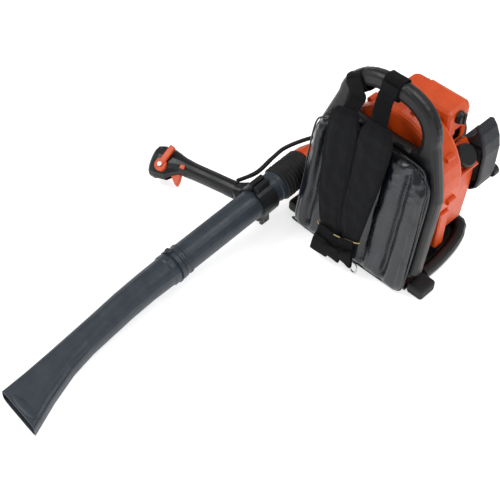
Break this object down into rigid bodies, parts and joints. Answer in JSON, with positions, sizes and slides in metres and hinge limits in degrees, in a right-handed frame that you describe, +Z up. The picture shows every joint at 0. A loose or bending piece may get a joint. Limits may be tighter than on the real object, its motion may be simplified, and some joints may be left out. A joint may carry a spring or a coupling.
{
  "type": "backpack leaf blower",
  "caption": "Petrol backpack leaf blower with a padded harness frame, orange fan case and engine covers, swivelling blow tube with flat nozzle and a throttle handle.",
  "frame": {"origin": "middle of the base's flat underside, under the back frame", "axes": "+Z up, +Y from the back pad to the engine, +X to the right of someone facing the back pad"},
  "size_m": [0.6866, 1.1094, 0.4598],
  "materials": {
    "frame_black": "satin, fine grain",
    "rubber_black": "matte",
    "pad_vinyl": "glossy coated fabric",
    "strap_fabric": "woven, matte",
    "band_tan": "matte",
    "orange_plastic": "semi-gloss",
    "tube_plastic": "satin, blow moulded",
    "dark_plastic": "matte, fine grain",
    "aluminium": "cast, satin",
    "steel": "bright",
    "muffler_metal": "heat-resistant matt paint",
    "bulb_plastic": "translucent",
    "filter_foam": "open foam",
    "ceramic_white": "glazed"
  },
  "bodies": {
    "machine": {"back_frame": "frame_black", "base_tray": "frame_black", "foot_front_right": "rubber_black", "foot_front_left": "rubber_black", "back_pad": "pad_vinyl", "shoulder_strap_left": "strap_fabric", "shoulder_strap_right": "strap_fabric", "strap_loop_left": "strap_fabric", "strap_loop_right": "strap_fabric", "strap_band": "band_tan", "mount_front_right": "rubber_black", "mount_front_left": "rubber_black", "mount_rear_right": "rubber_black", "mount_rear_left": "rubber_black", "fan_case_front": "orange_plastic", "fan_case_rear": "orange_plastic", "intake_grille": "frame_black", "outlet_clamp": "frame_black", "throttle_cable": "rubber_black", "crankcase": "aluminium", "cylinder": "aluminium", "spark_plug": "ceramic_white", "plug_boot": "rubber_black", "ignition_coil": "dark_plastic", "muffler": "muffler_metal", "carburettor": "aluminium", "air_filter": "filter_foam", "cleaner_cover": "dark_plastic", "fuel_tank": "orange_plastic", "engine_cover": "orange_plastic", "starter_housing": "dark_plastic"},
    "rotor": {"fan_impeller": "dark_plastic", "crankshaft_front": "steel", "crankshaft_rear": "steel", "flywheel": "aluminium"},
    "piston_set": {"piston": "aluminium", "wrist_pin": "steel"},
    "rod_set": {"connecting_rod": "steel", "crank_pin": "steel"},
    "elbow": {"outlet_elbow": "orange_plastic"},
    "bellows": {"bellows_hose": "rubber_black"},
    "blow_pipe": {"blow_tube": "tube_plastic"},
    "nozzle": {"blower_nozzle": "tube_plastic", "joint_collar": "tube_plastic"},
    "handle": {"clamp_half_outer": "frame_black", "clamp_half_inner": "frame_black", "grip_shell_upper": "frame_black", "grip_shell_lower": "frame_black"},
    "trigger": {"throttle_trigger": "orange_plastic"},
    "cruise": {"cruise_lever": "orange_plastic", "lever_cap": "ceramic_white"},
    "switch": {"stop_switch": "orange_plastic"},
    "fuel_cap_turn": {"fuel_cap": "frame_black"},
    "choke": {"choke_knob": "frame_black"},
    "cleaner_screw": {"cleaner_knob": "frame_black"},
    "primer": {"primer_bulb": "bulb_plastic"},
    "recoil_grip": {"starter_grip": "frame_black"},
    "recoil_reel": {"starter_reel": "frame_black"},
    "hook": {"strap_hook": "steel"}
  },
  "joints": [
    {"name": "rotor_spin", "type": "hinge", "parent": "machine", "child": "rotor", "pos_m": [0, 0.18, 0.226], "axis": [0, 1, 0], "continuous": true},
    {"name": "piston_stroke", "type": "slide", "parent": "machine", "child": "piston_set", "axis": [0, 0, -1], "range_m": [0, 0.026]},
    {"name": "rod_swing", "type": "hinge", "parent": "piston_set", "child": "rod_set", "pos_m": [0, 0.18, 0.281], "axis": [0, 1, 0], "range_deg": [-12, 12]},
    {"name": "tube_pitch", "type": "hinge", "parent": "machine", "child": "elbow", "pos_m": [-0.209, 0.105, 0.095], "axis": [-1, 0, 0], "range_deg": [0, 75], "deforming": ["throttle_cable"]},
    {"name": "tube_sweep", "type": "hinge", "parent": "elbow", "child": "bellows", "pos_m": [-0.209, 0.00532, 0.08698], "axis": [0, 0.0802, -0.9968], "range_deg": [-20, 25], "deforming": ["bellows_hose", "throttle_cable"]},
    {"name": "tube_swivel", "type": "hinge", "parent": "bellows", "child": "blow_pipe", "pos_m": [-0.209, -0.03654, 0.08361], "axis": [0, 0.9968, 0.0802], "range_deg": [-10, 90], "deforming": ["throttle_cable"]},
    {"name": "nozzle_twist", "type": "hinge", "parent": "blow_pipe", "child": "nozzle", "pos_m": [-0.209, -0.35551, 0.05795], "axis": [0, -0.9968, -0.0802], "range_deg": [0, 20]},
    {"name": "handle_adjust", "type": "slide", "parent": "blow_pipe", "child": "handle", "axis": [0, -0.9968, -0.0802], "range_m": [-0.015, 0.12], "deforming": ["throttle_cable"]},
    {"name": "trigger_pull", "type": "hinge", "parent": "handle", "child": "trigger", "pos_m": [-0.4509, -0.15191, 0.04436], "axis": [0.0451, -0.6213, 0.7823], "range_deg": [0, 16], "stiffness_Nm_per_rad": 0.3},
    {"name": "cruise_turn", "type": "hinge", "parent": "handle", "child": "cruise", "pos_m": [-0.44935, -0.15765, 0.05864], "axis": [0.0451, -0.6213, 0.7823], "range_deg": [-35, 35]},
    {"name": "stop_switch_slide", "type": "slide", "parent": "handle", "child": "switch", "axis": [0.9641, 0.2323, 0.1289], "range_m": [0, 0.005]},
    {"name": "fuel_cap_turn_joint", "type": "hinge", "parent": "machine", "child": "fuel_cap_turn", "pos_m": [0.109, 0.186, 0.2412], "axis": [0.7071, 0, 0.7071], "range_deg": [0, 350]},
    {"name": "choke_turn", "type": "hinge", "parent": "machine", "child": "choke", "pos_m": [0.0883, 0.172, 0.345], "axis": [1, 0, 0], "range_deg": [0, 75]},
    {"name": "cleaner_knob_turn", "type": "hinge", "parent": "machine", "child": "cleaner_screw", "pos_m": [0.128, 0.2823, 0.146], "axis": [0, 1, 0], "continuous": true},
    {"name": "primer_press", "type": "slide", "parent": "machine", "child": "primer", "axis": [-1, 0, 0], "range_m": [0, 0.004], "stiffness_N_per_m": 400, "springref_m": -0.002},
    {"name": "starter_pull", "type": "slide", "parent": "machine", "child": "recoil_grip", "axis": [-0.6392, 0, 0.769], "range_m": [0, 0.55], "stiffness_N_per_m": 6, "springref_m": -0.5},
    {"name": "reel_turn", "type": "hinge", "parent": "machine", "child": "recoil_reel", "pos_m": [0, 0.2585, 0.226], "axis": [0, 1, 0], "range_deg": [0, 1313]},
    {"name": "hook_swing", "type": "hinge", "parent": "machine", "child": "hook", "pos_m": [0.04, -0.05352, 0.03429], "axis": [1, 0, 0], "range_deg": [-60, 0]}
  ],
  "couplings": [
    {"joint": "reel_turn", "follows": "starter_pull", "rad_per_m": 41.667}
  ]
}
